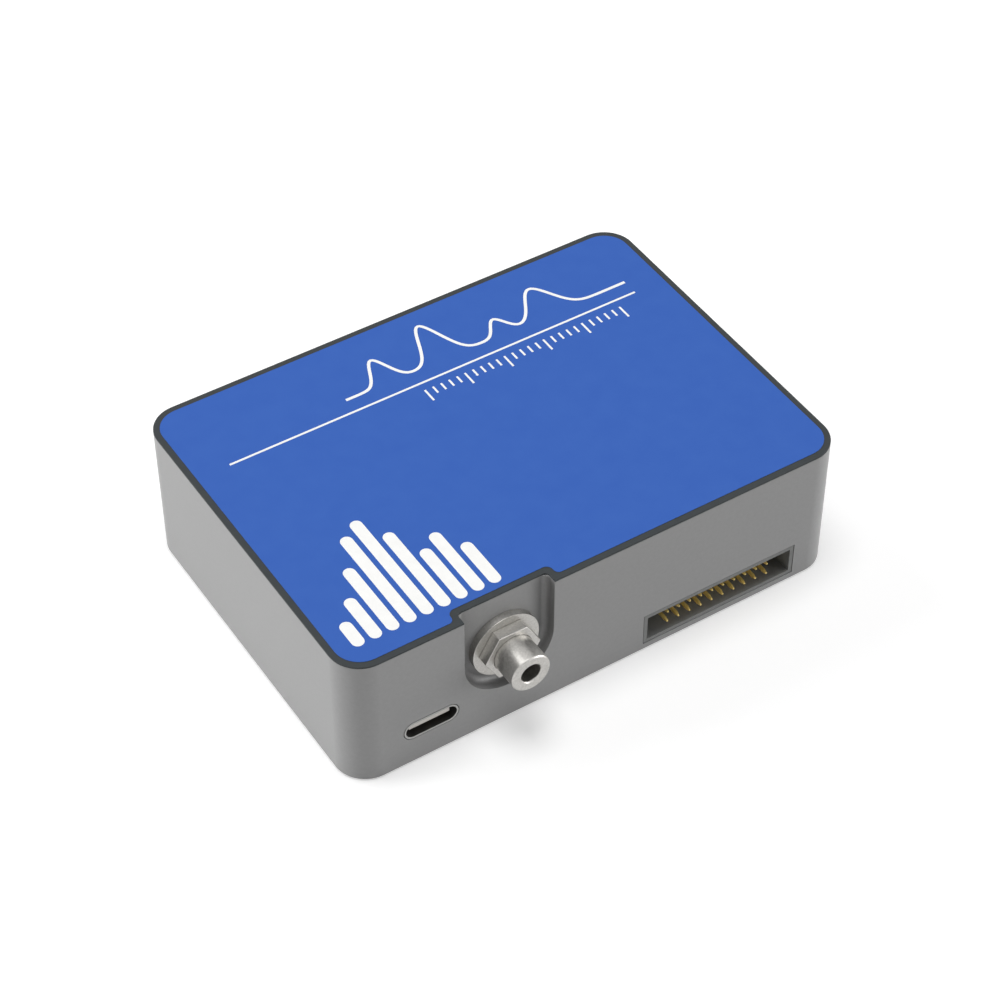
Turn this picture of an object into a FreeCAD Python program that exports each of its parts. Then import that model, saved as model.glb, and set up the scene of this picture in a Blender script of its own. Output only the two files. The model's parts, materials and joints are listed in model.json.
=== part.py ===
import FreeCAD, Part
import math
import os

# Compact fibre-optic spectrometer, in millimetres.
# The origin is the centre of the underside. X is the long way of the box, -Y is the face
# with the sockets, and +Z is up.

# Housing
body_length = 84.0
body_width = 60.0
housing_height = 23.6
corner_radius = 5.0
wall = 3.0
floor_thickness = 1.2
bottom_chamfer = 0.3

# Alcove for the fibre socket, open at the top
alcove_x = -16.0
alcove_radius = 7.4
alcove_depth = 2.05
alcove_corner_radius = 0.6
alcove_side_wall = 1.5
alcove_back_wall = 2.4

# Cover, faceplate and label
rim_width = 1.3
cover_thickness = 1.6
cover_gap = 0.1
faceplate_thickness = 0.3
label_thickness = 0.1
label_margin = 1.0
label_notch_radius = 1.1
label_lip_radius = 0.8

# Corner pads that hold the cover and take the mounting screws
corner_hole_inset = 5.5
corner_pad_reach = 2.9
cover_screw_depth = 6.0
mounting_hole_radius = 1.25
mounting_hole_depth = 5.0

# Screws
m2_tap_radius = 0.8
m2_head_radius = 1.75
m2_head_height = 1.2
cover_tap_radius = 0.625
cover_head_radius = 1.7
cover_head_height = 1.0
thread_gap = 0.03
through_gap = 0.25
tap_extra = 0.4

# Fibre socket
axis_below_middle = 1.3
barrel_radius = 3.175
barrel_reach = 5.6
barrel_chamfer = 0.2
ferrule_radius = 1.59
ferrule_depth = 9.8
throat_radius = 0.9
shoulder_radius = 4.5
shoulder_thickness = 2.0
panel_hole_gap = 0.08
washer_radius = 5.5
washer_thickness = 1.15
nut_across_flats = 7.94
nut_thickness = 1.8
nut_chamfer = 0.15
slit_seat_radius = 2.0
slit_thickness = 0.3
slit_width = 0.1
slit_height = 1.6
seat_gap = 0.03

# Main board and the way the header straddles its front edge
board_thickness = 1.5
board_edge_gap = 0.6
board_clearance = 0.35
board_pad_side = 4.0
board_screw_side_inset = 11.0
board_screw_back_inset = 5.0
board_pad_front_inset = 7.0
board_pad_left_of_socket = 4.0
board_pad_right_of_socket = 18.0
board_screw_depth = 1.8

# Pin header
header_from_end = 21.15
header_z = 4.25
header_columns = 10
header_pitch = 2.0
header_length = 27.05
header_height = 5.7
header_depth = 6.5
header_wall = 0.65
header_back_wall = 1.2
header_recess = 0.05
header_gap = 0.08
pin_side = 0.5
pin_tip_setback = 0.4
pin_taper_length = 0.7
pin_taper_share = 0.45
pin_tail_length = 1.9

# USB-C receptacle
usb_from_end = 13.0
usb_width = 8.94
usb_height = 3.2
usb_shell_wall = 0.3
usb_length = 7.35
usb_lift = 0.1
usb_gap = 0.1
usb_back_block = 1.6
usb_tongue_width = 6.69
usb_tongue_thickness = 0.7
usb_tongue_setback = 0.7
usb_contact_count = 12
usb_contact_pitch = 0.5
usb_contact_width = 0.25
usb_contact_length = 3.2
usb_contact_thickness = 0.05
usb_leg_width = 1.1
usb_leg_positions = (1.4, 3.6)
usb_leg_depth = 1.0

# Optical bench
bench_above_board = 2.4
bench_thickness = 1.8
bench_edge_gap = 0.6
bench_clearance = 0.4
ledge_reach = 5.5
ledge_width = 5.0
ledge_from_front = 21.0
bench_screw_inset = 3.0
bench_screw_depth = 4.0

# Optical layout in plan: the light goes from the slit to the collimating mirror, the
# grating, the focusing mirror and the detector. Each optic's facing angle is worked out.
mirror_from_back = 10.5
grating_from_front = 14.0
focuser_from_end = 17.0
detector_from_end = 11.5
detector_from_front = 12.5
grating_lines_per_mm = 300.0
centre_wavelength_mm = 0.0013

# Mirrors, grating and their mounts
optic_lift = 0.6
mirror_width = 10.0
mirror_thickness = 3.0
mirror_rim = 0.3
grating_width = 12.0
grating_thickness = 4.0
mount_back = 1.6
mount_side = 1.0
mount_lip = 1.6
mount_top_rise = 0.3
mount_foot_width = 5.0
mount_foot_depth = 4.4
mount_foot_thickness = 1.5
optic_gap = 0.05
clip_width = 3.2
clip_thickness = 0.4
clip_reach = 1.6
clip_hook = 3.0

# Light baffle and trap for the undispersed beam
baffle_from_axis = 5.0
baffle_from_front = 7.0
baffle_length = 17.0
baffle_thickness = 0.8
baffle_top_gap = 1.8
baffle_tab_length = 3.0
baffle_tab_inset = 3.5
trap_width = 9.0
trap_height = 9.0
trap_rise = 1.0
trap_back = 0.8
trap_tooth = 1.4
trap_teeth = 6

# Detector on its own small board, which plugs into the main board
detector_length = 16.0
detector_height_margin = 1.0
detector_depth = 3.0
window_frame = 0.7
window_frame_height = 1.2
window_thickness = 0.6
cavity_margin = 0.5
cavity_depth = 1.6
chip_margin = 0.4
chip_height = 1.2
chip_thickness = 0.5
filter_margin = 0.3
filter_thickness = 1.0
detector_pin_columns = 6
detector_pin_pitch = 2.54
detector_row_spacing = 5.08
detector_pin_side = 0.5
detector_pin_tail = 0.8
detector_board_thickness = 1.2
detector_board_lift = 0.3
detector_board_top_gap = 0.4
detector_board_margin = 1.6
tab_length = 12.0
tab_gap = 0.05
slot_gap = 0.4
socket_length = 14.0
socket_width = 3.0
socket_height = 2.2
socket_slot_depth = 1.6
bracket_thickness = 2.0
bracket_cheek = 1.0
bracket_lip = 1.0
bracket_window_margin = 0.75
bracket_foot_length = 12.6
bracket_foot_depth = 4.6
bracket_foot_thickness = 1.8
bracket_foot_shift = -1.2

# Chips on the main board: place, size, leads on each side and the pitch of the leads
controller_place = (-24.0, 4.0)
controller_size = (7.0, 7.0, 0.9)
converter_place = (14.0, -7.0)
converter_size = (5.0, 4.4, 1.1)
converter_lead_count = 4
converter_lead_pitch = 1.27
memory_place = (-8.0, 10.0)
memory_size = (4.9, 3.9, 0.9)
regulator_place = (6.0, 14.0)
regulator_size = (6.5, 3.5, 1.6)
regulator_lead_count = 3
regulator_lead_pitch = 2.3
lead_width_share = 0.42
lead_thickness = 0.15
lead_reach = 0.9
crystal_place = (-24.0, -7.0)
crystal_size = (5.0, 3.2, 1.1)
crystal_flange = 0.25
capacitor_place = (-6.0, 18.5)
capacitor_size = (2.0, 1.25, 1.25)
capacitor_count = 8
capacitor_pitch = 3.2

# Places worked out from the sizes above
UP = FreeCAD.Vector(0, 0, 1)
BACKWARDS = FreeCAD.Vector(0, 1, 0)
front_y = -body_width / 2
inner_front_y = front_y + wall
inner_back_y = body_width / 2 - wall
inner_end_x = body_length / 2 - wall
header_x = body_length / 2 - header_from_end
usb_x = usb_from_end - body_length / 2
alcove_back_y = front_y + alcove_depth
panel_inner_y = alcove_back_y + alcove_back_wall
cover_underside_z = housing_height - cover_thickness
faceplate_top_z = housing_height + faceplate_thickness
board_underside_z = header_z - board_thickness / 2
board_top_z = header_z + board_thickness / 2
header_row_pitch = board_thickness + pin_side
usb_z = board_top_z + usb_lift + usb_height / 2
bench_underside_z = board_top_z + bench_above_board
bench_top_z = bench_underside_z + bench_thickness
axis_z = (bench_top_z + cover_underside_z) / 2 - axis_below_middle
optic_height = 2 * (axis_z - bench_top_z - optic_lift)
shoulder_back_y = panel_inner_y + shoulder_thickness
slit_seat_y = shoulder_back_y - slit_thickness
slit_place = (alcove_x, slit_seat_y)
collimator_place = (alcove_x, inner_back_y - mirror_from_back)
focuser_place = (inner_end_x - focuser_from_end, inner_back_y - mirror_from_back)
grating_place = ((collimator_place[0] + focuser_place[0]) / 2,
                 inner_front_y + grating_from_front)
detector_place = (inner_end_x - detector_from_end, inner_front_y + detector_from_front)
baffle_x = alcove_x + baffle_from_axis
baffle_span = (inner_front_y + baffle_from_front,
               inner_front_y + baffle_from_front + baffle_length)
detector_height = optic_height - detector_height_margin
window_length = detector_length - 2 * window_frame
window_height = detector_height - 2 * window_frame_height
cavity_length = window_length - 2 * cavity_margin
cavity_height = window_height - 2 * cavity_margin
detector_board_length = detector_length + 2 * detector_board_margin
detector_board_top = cover_underside_z - detector_board_top_gap
detector_board_y = detector_place[1] - detector_depth
bracket_y = detector_board_y - detector_board_thickness


def vector(x, y, z):
    return FreeCAD.Vector(x, y, z)


def block(x_span, y_span, z_span):
    """A box from three (low, high) spans."""
    sides = [high - low for low, high in (x_span, y_span, z_span)]
    return Part.makeBox(*sides, vector(x_span[0], y_span[0], z_span[0]))


def middle(centre, size):
    """The (low, high) span of a size about its centre."""
    return (centre - size / 2, centre + size / 2)


def post(x, y, z_span, radius):
    """An upright cylinder."""
    return Part.makeCylinder(radius, z_span[1] - z_span[0], vector(x, y, z_span[0]), UP)


def rod_y(x, z, y_span, radius):
    """A cylinder that lies along Y."""
    return Part.makeCylinder(radius, y_span[1] - y_span[0], vector(x, y_span[0], z), BACKWARDS)


def rounded_wire(corners):
    """A closed wire in the XY plane through (x, y, radius) corners, each one rounded."""
    count = len(corners)
    joints = []
    for index, (x, y, radius) in enumerate(corners):
        here = vector(x, y, 0)
        before = vector(*corners[index - 1][:2], 0) - here
        after = vector(*corners[(index + 1) % count][:2], 0) - here
        before.normalize()
        after.normalize()
        half_angle = before.getAngle(after) / 2
        start = here + before * (radius / math.tan(half_angle))
        end = here + after * (radius / math.tan(half_angle))
        bisector = before + after
        bisector.normalize()
        crown = here + bisector * (radius / math.sin(half_angle) - radius)
        joints.append((start, crown, end, radius))
    edges = []
    for index, (start, crown, end, radius) in enumerate(joints):
        if radius > 0:
            edges.append(Part.Arc(start, crown, end).toShape())
        following = joints[(index + 1) % count][0]
        if (following - end).Length > 1e-6:
            edges.append(Part.LineSegment(end, following).toShape())
    return Part.Wire(edges)


def plate(corners, z_span):
    """A flat plate with rounded corners."""
    face = Part.Face(rounded_wire(corners))
    face.translate(vector(0, 0, z_span[0]))
    return face.extrude(vector(0, 0, z_span[1] - z_span[0]))


def rectangle(x_span, y_span, radius):
    """The four corners of a rounded rectangle."""
    return [(x_span[0], y_span[0], radius), (x_span[1], y_span[0], radius),
            (x_span[1], y_span[1], radius), (x_span[0], y_span[1], radius)]


def inset_radius(inset):
    """The plan corner radius at a distance inside the outer wall."""
    return max(corner_radius - inset, alcove_corner_radius)


def body_outline(inset):
    """The outline of the box seen from above, without the alcove."""
    return rectangle(middle(0, body_length - 2 * inset), middle(0, body_width - 2 * inset),
                     inset_radius(inset))


def notched_outline(inset, notch_radius=alcove_corner_radius, lip_radius=0.0):
    """The outline of the box seen from above, going round the alcove."""
    corners = body_outline(inset)
    left = alcove_x - alcove_radius - inset
    right = alcove_x + alcove_radius + inset
    back = alcove_back_y + inset
    front = front_y + inset
    notch = [(left, front, lip_radius), (left, back, notch_radius),
             (right, back, notch_radius), (right, front, lip_radius)]
    return corners[:1] + notch + corners[1:]


def arch(radius, y_span, top_z):
    """The alcove's shape seen from the front: a half round below and straight sides above."""
    centre = vector(alcove_x, y_span[0], axis_z)
    left = centre - vector(radius, 0, 0)
    right = centre + vector(radius, 0, 0)
    rise = vector(0, 0, top_z - axis_z)
    edges = [Part.Arc(left, centre - vector(0, 0, radius), right).toShape(),
             Part.LineSegment(right, right + rise).toShape(),
             Part.LineSegment(right + rise, left + rise).toShape(),
             Part.LineSegment(left + rise, left).toShape()]
    return Part.Face(Part.Wire(edges)).extrude(vector(0, y_span[1] - y_span[0], 0))


def stadium(width, height, y_span):
    """A slot with round ends, seen from the front, about the centre of the USB port."""
    half_flat = (width - height) / 2
    radius = height / 2
    y = y_span[0]
    low_left = vector(usb_x - half_flat, y, usb_z - radius)
    low_right = vector(usb_x + half_flat, y, usb_z - radius)
    high_left = vector(usb_x - half_flat, y, usb_z + radius)
    high_right = vector(usb_x + half_flat, y, usb_z + radius)
    right_end = vector(usb_x + half_flat + radius, y, usb_z)
    left_end = vector(usb_x - half_flat - radius, y, usb_z)
    edges = [Part.LineSegment(low_left, low_right).toShape(),
             Part.Arc(low_right, right_end, high_right).toShape(),
             Part.LineSegment(high_right, high_left).toShape(),
             Part.Arc(high_left, left_end, low_left).toShape()]
    return Part.Face(Part.Wire(edges)).extrude(vector(0, y_span[1] - y, 0))


def hexagon(across_flats, z_span):
    """An upright hexagonal prism about the Z axis, with corners on X."""
    radius = across_flats / math.sqrt(3)
    corners = [(radius * math.cos(math.radians(60 * k)),
                radius * math.sin(math.radians(60 * k)), 0.0) for k in range(6)]
    return plate(corners, z_span)


def machine_screw(tap_radius, head_radius, head_height, length):
    """A hexagon-head screw: the head stands on z = 0 and the shank goes down."""
    head = hexagon(head_radius * math.sqrt(3), (0, head_height))
    shank = post(0, 0, (-length, 0), tap_radius - thread_gap)
    return head.fuse(shank)


def copies(shape, places):
    """Separate copies of a shape at a list of places."""
    placed = []
    for x, y, z in places:
        copy = shape.copy()
        copy.translate(vector(x, y, z))
        placed.append(copy)
    return Part.makeCompound(placed)


def corner_hole_places():
    """Plan places of the four cover screws, and of the mounting holes under them."""
    x = body_length / 2 - corner_hole_inset
    y = body_width / 2 - corner_hole_inset
    return [(-x, -y), (x, -y), (x, y), (-x, y)]


def bench_screw_places():
    """The bench rests on three points: one on each end wall and one on the back wall."""
    x = inner_end_x - bench_screw_inset
    front = inner_front_y + ledge_from_front
    return [(-x, front), (x, front), (0.0, inner_back_y - bench_screw_inset)]


def board_screw_places():
    x = inner_end_x - board_screw_side_inset
    y = inner_back_y - board_screw_back_inset
    return [(-x, y), (x, y)]


def board_pad_places():
    """The two screwed pads at the back, and two plain ones on each side of the socket."""
    y = inner_front_y + board_pad_front_inset
    return board_screw_places() + [(alcove_x - board_pad_left_of_socket, y),
                                   (alcove_x + board_pad_right_of_socket, y)]


def span_to_wall(place, reach, wall_at, clearance):
    """From a clearance before a place to the wall on the place's side of the middle."""
    sign = math.copysign(1, place)
    start = abs(place) - reach - clearance
    return tuple(sorted((sign * start, sign * (wall_at + wall / 2))))


def corner_pads(clearance, z_span):
    """The square pads in the corners, grown by a clearance."""
    return [block(span_to_wall(x, corner_pad_reach, inner_end_x, clearance),
                  span_to_wall(y, corner_pad_reach, inner_back_y, clearance), z_span)
            for x, y in corner_hole_places()]


def bench_ledges(clearance, z_span):
    """The ledges on the walls that carry the bench, grown by a clearance."""
    reach = ledge_reach - bench_screw_inset
    across = ledge_width + 2 * clearance
    left, right, back = bench_screw_places()
    return [block(span_to_wall(left[0], reach, inner_end_x, clearance), middle(left[1], across),
                  z_span),
            block(span_to_wall(right[0], reach, inner_end_x, clearance),
                  middle(right[1], across), z_span),
            block(middle(back[0], across), span_to_wall(back[1], reach, inner_back_y, clearance),
                  z_span)]


def edge_slot(place, toward, z_span):
    """A slot for a screw at a place, open towards another place on the same X or Y line."""
    half = m2_tap_radius + through_gap
    spans = []
    for here, there in zip(place, toward):
        spans.append((min(here, there) - half, max(here, there) + half))
    return block(spans[0], spans[1], z_span)


def tapped_holes(places, top_z, depth, radius):
    """Blind holes that go down from a height."""
    return [post(x, y, (top_z - depth, top_z), radius) for x, y in places]


def alcove_boss(clearance, z_span):
    """The thicker wall round the alcove, inside the housing, grown by a clearance."""
    return block(middle(alcove_x, 2 * (alcove_radius + alcove_side_wall + clearance)),
                 (inner_front_y - wall / 2, panel_inner_y + clearance), z_span)


def alcove_cut():
    """The alcove itself, with its back edge broken."""
    reach = 1.0
    cutter = arch(alcove_radius, (front_y - reach, alcove_back_y), housing_height + reach)
    back_edges = [edge for edge in cutter.Edges
                  if abs(edge.BoundBox.YMin - alcove_back_y) < 1e-6
                  and edge.BoundBox.ZMin < housing_height]
    return cutter.makeChamfer(alcove_corner_radius, back_edges)


def housing():
    """The milled tray: walls, floor, bosses, ledge, alcove and the three front openings."""
    shell = plate(body_outline(0), (0, housing_height))
    foot_edges = [edge for edge in shell.Edges if edge.BoundBox.ZMax < 1e-6]
    shell = shell.makeChamfer(bottom_chamfer, foot_edges)
    pocket = plate(body_outline(wall), (floor_thickness, housing_height))
    kept = corner_pads(0, (floor_thickness, cover_underside_z))
    kept.append(alcove_boss(0, (floor_thickness, cover_underside_z)))
    kept += bench_ledges(0, (floor_thickness, bench_underside_z))
    kept += [block(middle(x, board_pad_side), middle(y, board_pad_side),
                   (floor_thickness, board_underside_z)) for x, y in board_pad_places()]
    tray = shell.cut(pocket.cut(kept))
    tray = tray.cut(plate(notched_outline(rim_width, 0.0), (cover_underside_z, housing_height)))
    corners = corner_hole_places()
    holes = tapped_holes(corners, cover_underside_z, cover_screw_depth, cover_tap_radius)
    holes += tapped_holes(bench_screw_places(), bench_underside_z, bench_screw_depth,
                          m2_tap_radius)
    holes += tapped_holes(board_screw_places(), board_underside_z, board_screw_depth,
                          m2_tap_radius)
    holes += [post(x, y, (0, mounting_hole_depth), mounting_hole_radius) for x, y in corners]
    through = (front_y - 1, panel_inner_y + 1)
    openings = [rod_y(alcove_x, axis_z, through, barrel_radius + panel_hole_gap),
                stadium(usb_width + 2 * usb_gap, usb_height + 2 * usb_gap,
                        (front_y - 1, front_y + usb_length + usb_gap)),
                block(middle(header_x, header_length + 2 * header_gap),
                      (front_y - 1, header_back_y() + header_gap),
                      middle(header_z, header_height + 2 * header_gap))]
    return tray.cut([alcove_cut()] + holes + openings)


def cover_plate():
    """The inset lid, with a counterbored hole in each corner."""
    lid = plate(notched_outline(rim_width + cover_gap, 0.0), (cover_underside_z, housing_height))
    cutters = []
    for x, y in corner_hole_places():
        cutters.append(post(x, y, (cover_underside_z, housing_height),
                            cover_tap_radius + through_gap))
        cutters.append(post(x, y, (housing_height - cover_head_height, housing_height),
                            cover_head_radius + thread_gap))
    return lid.cut(cutters)


def cover_screws():
    below_head = cover_thickness - cover_head_height
    screw = machine_screw(cover_tap_radius, cover_head_radius, cover_head_height,
                          below_head + cover_screw_depth - tap_extra)
    head_z = housing_height - cover_head_height
    return copies(screw, [(x, y, head_z) for x, y in corner_hole_places()])


def faceplate():
    return plate(notched_outline(0), (housing_height, faceplate_top_z))


def label_panel():
    outline = notched_outline(label_margin, label_notch_radius, label_lip_radius)
    return plate(outline, (faceplate_top_z, faceplate_top_z + label_thickness))


def turned_on_axis(profile):
    """A turned part about the fibre axis, from (radius, y) points."""
    points = [vector(alcove_x + radius, y, axis_z) for radius, y in profile]
    face = Part.Face(Part.makePolygon(points + points[:1]))
    return face.revolve(vector(alcove_x, 0, axis_z), BACKWARDS, 360)


def fibre_connector_body():
    """The socket: barrel, shoulder behind the panel and stepped bore."""
    end_y = front_y - barrel_reach
    ferrule_end_y = end_y + ferrule_depth
    return turned_on_axis([
        (ferrule_radius + barrel_chamfer, end_y), (barrel_radius - barrel_chamfer, end_y),
        (barrel_radius, end_y + barrel_chamfer), (barrel_radius, panel_inner_y),
        (shoulder_radius, panel_inner_y), (shoulder_radius, shoulder_back_y),
        (slit_seat_radius, shoulder_back_y), (slit_seat_radius, slit_seat_y),
        (throat_radius, slit_seat_y), (throat_radius, ferrule_end_y),
        (ferrule_radius, ferrule_end_y), (ferrule_radius, end_y + barrel_chamfer)])


def connector_washer():
    front = alcove_back_y - washer_thickness
    return turned_on_axis([(barrel_radius + panel_hole_gap, front), (washer_radius, front),
                           (washer_radius, alcove_back_y),
                           (barrel_radius + panel_hole_gap, alcove_back_y)])


def connector_nut():
    """The hexagon nut that clamps the socket to the panel, its front corners broken."""
    back = alcove_back_y - washer_thickness
    corner_radius_of_nut = nut_across_flats / math.sqrt(3)
    prism = hexagon(nut_across_flats, (0, nut_thickness))
    cone = Part.makeCone(corner_radius_of_nut + nut_thickness, corner_radius_of_nut - nut_chamfer,
                         nut_thickness + nut_chamfer)
    prism = prism.common(cone).cut(post(0, 0, (0, nut_thickness), barrel_radius + thread_gap))
    prism.rotate(vector(0, 0, 0), vector(1, 0, 0), 90)
    prism.translate(vector(alcove_x, back, axis_z))
    return prism


def slit_disc():
    back = slit_seat_y + slit_thickness
    disc = rod_y(alcove_x, axis_z, (slit_seat_y, back), slit_seat_radius - seat_gap)
    return disc.cut(block(middle(alcove_x, slit_width), (slit_seat_y, back),
                          middle(axis_z, slit_height)))


def main_board():
    """The circuit board, cut round the pads, the ledges and behind the header."""
    span = (board_underside_z, board_top_z)
    board = plate(rectangle(middle(0, body_length - 2 * (wall + board_edge_gap)),
                            middle(0, body_width - 2 * (wall + board_edge_gap)),
                            alcove_corner_radius), span)
    cutters = corner_pads(board_clearance, span) + bench_ledges(board_clearance, span)
    cutters += [edge_slot((x, y), (x, inner_back_y), span) for x, y in board_screw_places()]
    cutters.append(alcove_boss(board_clearance, span))
    cutters.append(block(middle(header_x, header_length + 2 * board_clearance),
                         (front_y, header_back_y() + header_gap), span))
    cutters += [leg for leg in usb_legs(thread_gap)]
    return board.cut(cutters)


def board_screws():
    screw = machine_screw(m2_tap_radius, m2_head_radius, m2_head_height,
                          board_thickness + board_screw_depth - tap_extra)
    return copies(screw, [(x, y, board_top_z) for x, y in board_screw_places()])


def header_back_y():
    return front_y + header_recess + header_depth


def header_pin_places():
    first = header_x - (header_columns - 1) * header_pitch / 2
    for column in range(header_columns):
        for side in (-1, 1):
            yield first + column * header_pitch, header_z + side * header_row_pitch / 2


def header_pin(x, z):
    """A square pin with a tapered tip, from the tip to the solder tail."""
    tip_y = front_y + pin_tip_setback
    shoulder_y = tip_y + pin_taper_length
    half = pin_side / 2
    half_tip = half * pin_taper_share
    tip = Part.makeWedge(x - half_tip, tip_y, z - half_tip, z - half, x - half,
                         x + half_tip, shoulder_y, z + half_tip, z + half, x + half)
    rest = block(middle(x, pin_side), (shoulder_y, header_back_y() + pin_tail_length),
                 middle(z, pin_side))
    return tip.fuse(rest).removeSplitter()


def header_pins():
    return Part.makeCompound([header_pin(x, z) for x, z in header_pin_places()])


def header_shroud():
    """The box round the pins, with a floor that the pins pass through."""
    front = front_y + header_recess
    back = header_back_y()
    body = block(middle(header_x, header_length), (front, back), middle(header_z, header_height))
    cavity = block(middle(header_x, header_length - 2 * header_wall),
                   (front, back - header_back_wall),
                   middle(header_z, header_height - 2 * header_wall))
    holes = [block(middle(x, pin_side), (front, back), middle(z, pin_side))
             for x, z in header_pin_places()]
    return body.cut([cavity] + holes)


def usb_legs(clearance):
    """The four shell legs that go down into the board."""
    half = usb_width / 2 - usb_height / 2
    for offset in usb_leg_positions:
        for side in (-1, 1):
            x_span = middle(usb_x + side * half, usb_shell_wall + 2 * clearance)
            y_span = middle(inner_front_y + offset, usb_leg_width + 2 * clearance)
            yield block(x_span, y_span, (board_top_z - usb_leg_depth - clearance,
                                         board_top_z + usb_lift + usb_shell_wall / 2))


def usb_shell():
    """The metal sleeve with its legs."""
    span = (front_y, front_y + usb_length)
    sleeve = stadium(usb_width, usb_height, span)
    bore = stadium(usb_width - 2 * usb_shell_wall, usb_height - 2 * usb_shell_wall, span)
    return sleeve.fuse(list(usb_legs(0))).cut(bore)


def usb_tongue():
    """The insulator: a block at the back of the sleeve and the tongue that carries contacts."""
    back = front_y + usb_length
    rear = stadium(usb_width - 2 * (usb_shell_wall + thread_gap),
                   usb_height - 2 * (usb_shell_wall + thread_gap), (back - usb_back_block, back))
    tongue = block(middle(usb_x, usb_tongue_width),
                   (front_y + usb_tongue_setback, back - usb_back_block / 2),
                   middle(usb_z, usb_tongue_thickness))
    return rear.fuse(tongue).removeSplitter()


def usb_contacts():
    """Two rows of contact strips on the tongue."""
    first = usb_x - (usb_contact_count - 1) * usb_contact_pitch / 2
    start = front_y + usb_tongue_setback + usb_contact_width
    strips = []
    for index in range(usb_contact_count):
        x_span = middle(first + index * usb_contact_pitch, usb_contact_width)
        y_span = (start, start + usb_contact_length)
        top = usb_z + usb_tongue_thickness / 2
        bottom = usb_z - usb_tongue_thickness / 2
        strips.append(block(x_span, y_span, (top, top + usb_contact_thickness)))
        strips.append(block(x_span, y_span, (bottom - usb_contact_thickness, bottom)))
    return Part.makeCompound(strips)


def flat_chip(place, size):
    """A chip on the main board whose contacts are under it."""
    length, width, height = size
    return block(middle(place[0], length), middle(place[1], width),
                 (board_top_z, board_top_z + height))


def chip_with_leads(place, size, lead_count, lead_pitch):
    """A chip body on the main board, with flat leads out of its two long sides."""
    length, width, height = size
    body = block(middle(0, length), middle(0, width), (lead_thickness, height))
    lead_width = lead_pitch * lead_width_share
    row = (lead_count - 1) * lead_pitch
    leads = [block(middle(index * lead_pitch - row / 2, lead_width),
                   sorted((side * (width / 2 - lead_reach), side * (width / 2 + lead_reach))),
                   (0, lead_thickness))
             for index in range(lead_count) for side in (-1, 1)]
    chip = body.fuse(leads).removeSplitter()
    chip.translate(vector(place[0], place[1], board_top_z))
    return chip


def crystal_can():
    """A low metal can on a wider base."""
    length, width, height = crystal_size
    x, y = crystal_place
    base_top = board_top_z + height / 3
    base = block(middle(x, length), middle(y, width), (board_top_z, base_top))
    can = block(middle(x, length - 2 * crystal_flange), middle(y, width - 2 * crystal_flange),
                (base_top, board_top_z + height))
    return base.fuse(can)


def capacitors():
    """A row of ceramic chip capacitors."""
    x, y = capacitor_place
    length, width, height = capacitor_size
    chip = block(middle(0, width), middle(0, length), (0, height))
    places = [(x + index * capacitor_pitch, y, board_top_z) for index in range(capacitor_count)]
    return copies(chip, places)


def optical_bench():
    """The plate that carries the optics, cut round the corner pads and the sockets."""
    span = (bench_underside_z, bench_top_z)
    bench = plate(rectangle(middle(0, body_length - 2 * (wall + bench_edge_gap)),
                            middle(0, body_width - 2 * (wall + bench_edge_gap)),
                            alcove_corner_radius), span)
    cutters = corner_pads(bench_clearance, span)
    cutters.append(alcove_boss(bench_clearance, span))
    cutters.append(block(middle(usb_x, usb_width + 4 * bench_clearance),
                         (front_y, front_y + usb_length + 2 * bench_clearance), span))
    left, right, back = bench_screw_places()
    cutters += [edge_slot(left, (-inner_end_x, left[1]), span),
                edge_slot(right, (inner_end_x, right[1]), span),
                edge_slot(back, (back[0], inner_back_y), span)]
    cutters += [post(x, y, span, m2_tap_radius) for x, y in bench_tapped_places()]
    cutters += [block(middle(baffle_x, baffle_thickness + 2 * tab_gap),
                      middle(y, baffle_tab_length + 2 * tab_gap), span)
                for y in baffle_tab_places()]
    cutters.append(block(middle(detector_place[0], tab_length + 2 * slot_gap),
                         middle(detector_board_y - detector_board_thickness / 2,
                                detector_board_thickness + 2 * slot_gap), span))
    return bench.cut(cutters)


def bench_screws():
    screw = machine_screw(m2_tap_radius, m2_head_radius, m2_head_height,
                          bench_thickness + bench_screw_depth - tap_extra)
    return copies(screw, [(x, y, bench_top_z) for x, y in bench_screw_places()])


def direction(start, end):
    """The plan angle, in degrees, from one place to another."""
    return math.degrees(math.atan2(end[1] - start[1], end[0] - start[0]))


def facing(place, source, target):
    """The angle that a mirror faces to send light from the source to the target."""
    to_source = math.radians(direction(place, source))
    to_target = math.radians(direction(place, target))
    return math.degrees(math.atan2(math.sin(to_source) + math.sin(to_target),
                                   math.cos(to_source) + math.cos(to_target)))


def grating_facing():
    """The grating's angle: turned off the bisector by the grating equation."""
    to_source = direction(grating_place, collimator_place)
    to_target = direction(grating_place, focuser_place)
    half_spread = math.radians(to_source - to_target) / 2
    turn = math.asin(grating_lines_per_mm * centre_wavelength_mm / (2 * math.cos(half_spread)))
    return facing(grating_place, collimator_place, focuser_place) - math.degrees(turn)


def optics():
    """Place, facing angle, width and thickness of each optic."""
    return {
        "collimating_mirror": (collimator_place, facing(collimator_place, slit_place,
                                                        grating_place),
                               mirror_width, mirror_thickness),
        "diffraction_grating": (grating_place, grating_facing(), grating_width,
                                grating_thickness),
        "focusing_mirror": (focuser_place, facing(focuser_place, grating_place, detector_place),
                            mirror_width, mirror_thickness),
    }


def set_in_place(shape, place, angle):
    """Turn a shape that faces +Y to its angle and move it to its place on the bench."""
    shape.rotate(vector(0, 0, 0), UP, angle - 90)
    shape.translate(vector(place[0], place[1], 0))
    return shape


def place_on_bench(points, place, angle):
    """The plan places of (x, y) points given in an optic's own frame."""
    turn = math.radians(angle - 90)
    return [(place[0] + x * math.cos(turn) - y * math.sin(turn),
             place[1] + x * math.sin(turn) + y * math.cos(turn)) for x, y in points]


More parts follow.
